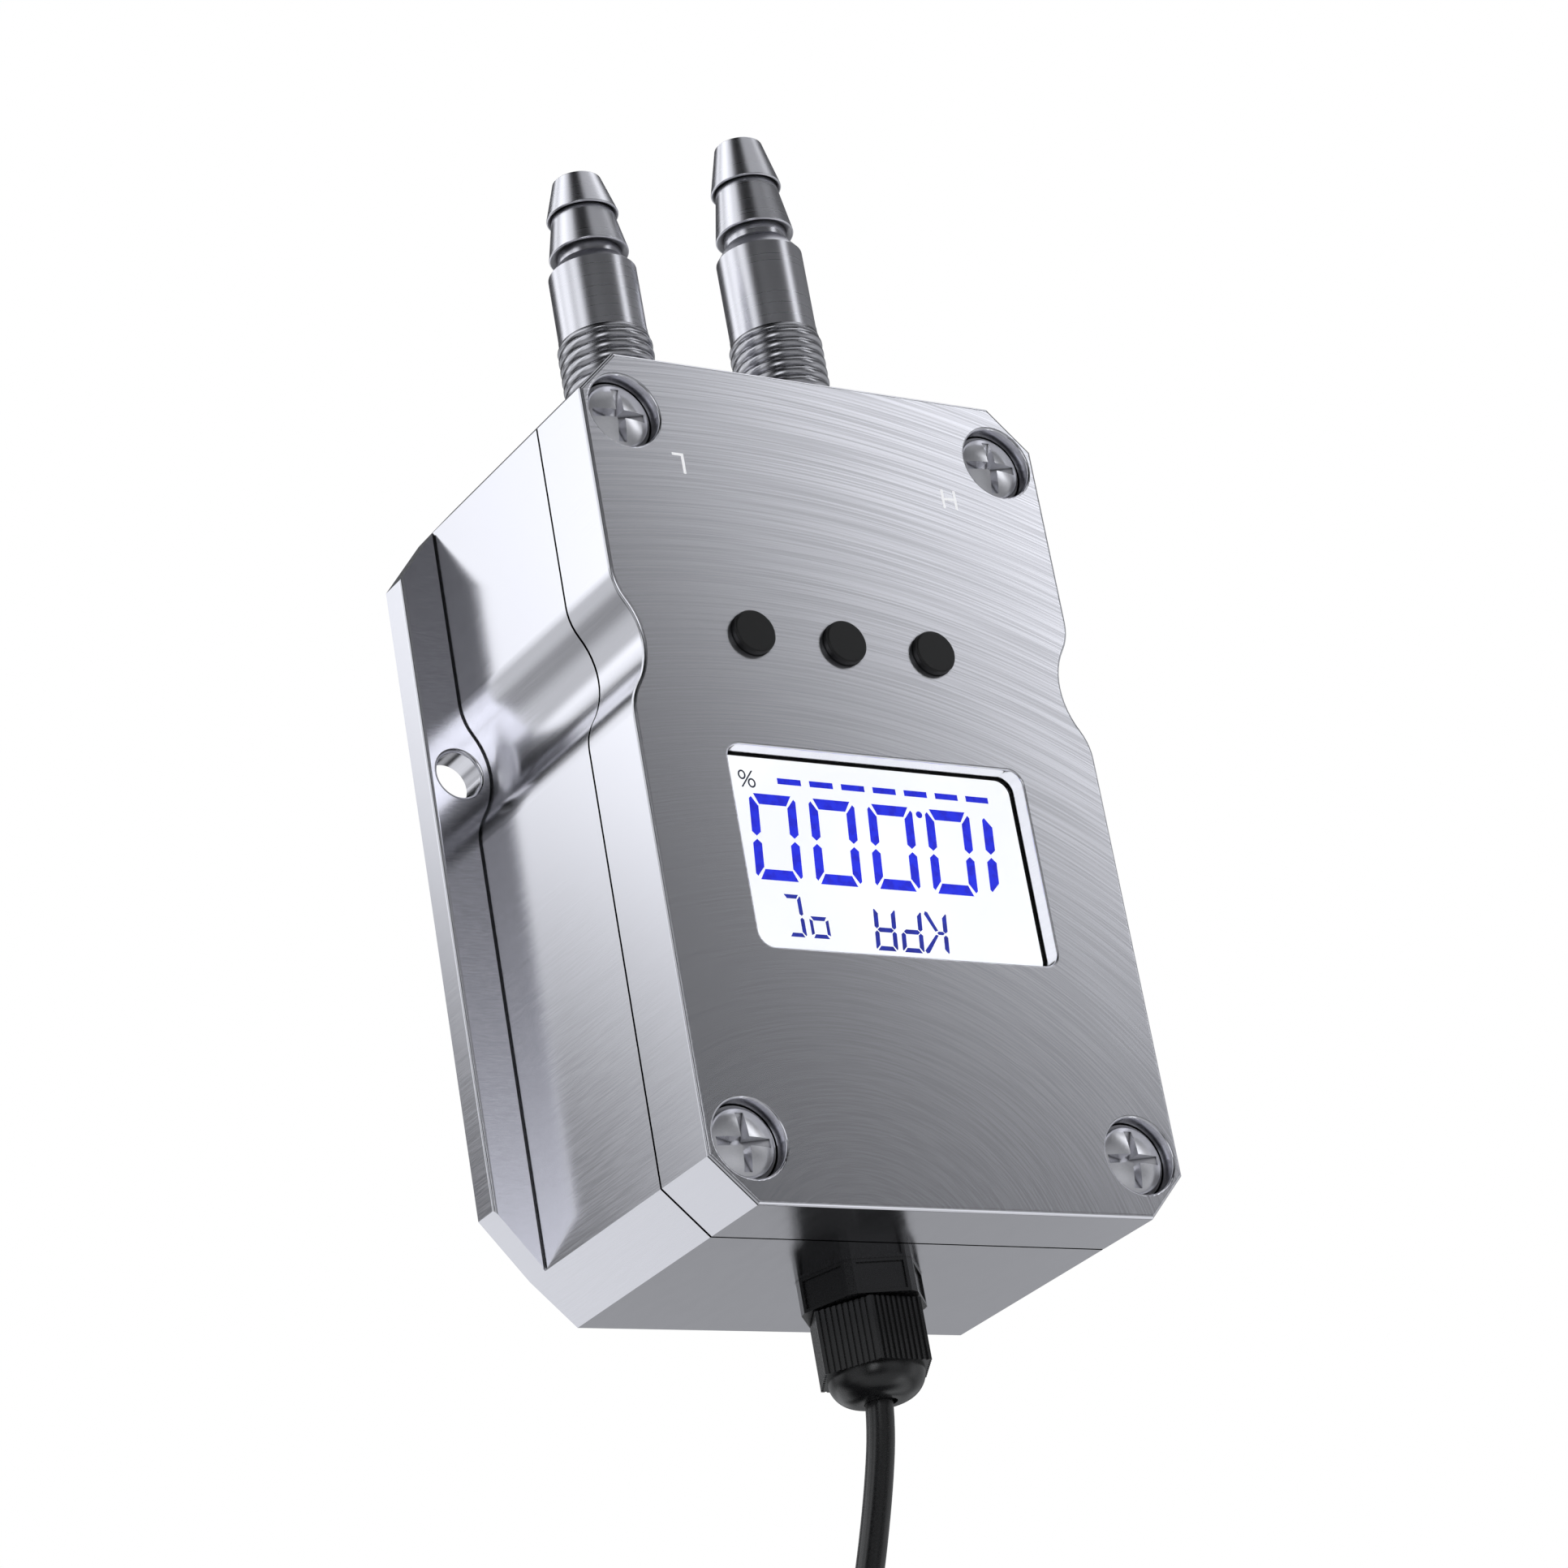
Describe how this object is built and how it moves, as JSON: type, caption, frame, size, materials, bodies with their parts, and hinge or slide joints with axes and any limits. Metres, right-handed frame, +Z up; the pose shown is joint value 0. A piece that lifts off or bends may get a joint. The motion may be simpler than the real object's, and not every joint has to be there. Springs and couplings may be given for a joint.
{
  "type": "differential pressure transmitter",
  "caption": "Wall-mounted box that measures the pressure difference between two hose ports, with a display, push buttons and a gland with its cable.",
  "frame": {"origin": "on the wall plane, midway between the two fixing holes of the side flanges", "axes": "+Z up along the housing with the hose barbs on top, -Y towards the viewer along the normal of the front face, +Y into the wall, +X to the viewer's right"},
  "size_m": [0.0892, 0.0491, 0.3671],
  "materials": {
    "housing": "satin, brushed front",
    "black_rubber": "matt",
    "screw_steel": "bright",
    "window": "clear",
    "display_glass": "bright white with blue segments",
    "backlight": "white",
    "board": "green",
    "small_screw": "bright",
    "button": "satin black",
    "switch": "black",
    "turned_steel": "turned",
    "sensor": "ivory",
    "silicone": "translucent",
    "gland_nylon": "matt black",
    "cable_jacket": "half-gloss black",
    "lead_red": "red",
    "lead_black": "black",
    "ferrule": "tinned",
    "terminal_green": "green",
    "ribbon": "grey",
    "tie": "black"
  },
  "bodies": {
    "housing": {"base_housing": "housing", "front_cover": "housing", "cover_gasket": "black_rubber", "cover_screws": "screw_steel", "window_pane": "window", "display_bezel": "black_rubber", "display_panel": "display_glass", "display_backlight": "backlight", "display_board": "board", "main_board": "board", "display_board_screws": "small_screw", "main_board_screws": "small_screw", "tact_switches": "switch", "hose_barb_low": "turned_steel", "hose_barb_high": "turned_steel", "pressure_sensor": "sensor", "sensor_tube_low": "silicone", "sensor_tube_high": "silicone", "gland_body": "gland_nylon", "gland_insert": "black_rubber", "gland_nut": "gland_nylon", "gland_washer": "black_rubber", "gland_lock_nut": "gland_nylon", "inner_cable": "cable_jacket", "inner_leads": "lead_red", "terminal_block": "terminal_green", "ribbon_cable": "ribbon", "cable_run": "cable_jacket", "cable_tail": "cable_jacket", "cable_coil": "cable_jacket", "cable_ties": "tie", "lead_one": "lead_red", "lead_two": "lead_black", "lead_ferrules": "ferrule"},
    "button_1": {"button_1": "button"},
    "button_2": {"button_2": "button"},
    "button_3": {"button_3": "button"}
  },
  "joints": [
    {"name": "button_1_press", "type": "slide", "parent": "housing", "child": "button_1", "axis": [0, 1, 0], "range_m": [0, 0.0006], "stiffness_N_per_m": 2500},
    {"name": "button_2_press", "type": "slide", "parent": "housing", "child": "button_2", "axis": [0, 1, 0], "range_m": [0, 0.0006], "stiffness_N_per_m": 2500},
    {"name": "button_3_press", "type": "slide", "parent": "housing", "child": "button_3", "axis": [0, 1, 0], "range_m": [0, 0.0006], "stiffness_N_per_m": 2500}
  ]
}
